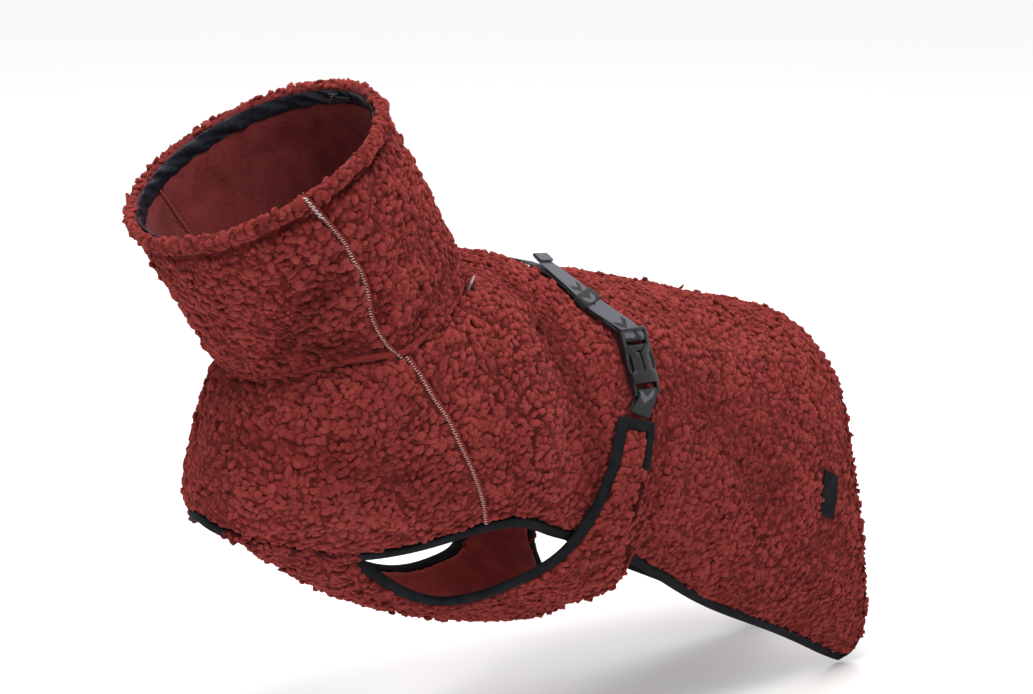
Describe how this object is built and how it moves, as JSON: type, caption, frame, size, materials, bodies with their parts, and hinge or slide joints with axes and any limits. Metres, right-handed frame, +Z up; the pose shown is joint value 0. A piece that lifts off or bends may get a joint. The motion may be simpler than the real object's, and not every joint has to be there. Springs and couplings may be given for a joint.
{
  "type": "dog winter coat",
  "caption": "Curly fleece dog winter coat standing in its worn shape, with a tall zip-lined collar, bound hems, a belly panel with side wings and a webbing belt with a side-release buckle.",
  "frame": {"origin": "inner surface of the back panel on its centre line, where the coat lies on the dog's back behind the shoulders", "axes": "-X is the way the dog faces, -Y the dog's left side (the side with the buckle), +Z up; the back line rises toward the collar at 17 degrees"},
  "size_m": [0.6478, 0.2242, 0.547],
  "materials": {
    "fleece": "curly teddy pile",
    "binding": "flat woven tape",
    "nylon": "shiny nylon",
    "webbing": "woven webbing",
    "plastic": "moulded",
    "patch": "dull",
    "metal": "dark gunmetal"
  },
  "bodies": {
    "coat": {"back_panel": "fleece", "chest_panel": "fleece", "belly_panel": "fleece", "collar_nape": "fleece", "collar_throat": "fleece", "hem_binding": "binding", "belly_binding": "binding", "belt_keeper": "binding", "collar_facing": "nylon", "belt_strap": "webbing", "buckle_loop": "webbing", "loop_label": "webbing", "buckle_male": "plastic", "buckle_female": "plastic", "rear_patch": "patch", "zip_slider": "metal"},
    "pull": {"zip_pull": "metal"}
  },
  "joints": [
    {"name": "pull_hinge", "type": "hinge", "parent": "coat", "child": "pull", "pos_m": [-0.18891, 0.02137, 0.15674], "axis": [0.3448, -0.031, -0.9382], "range_deg": [0, 150]}
  ]
}
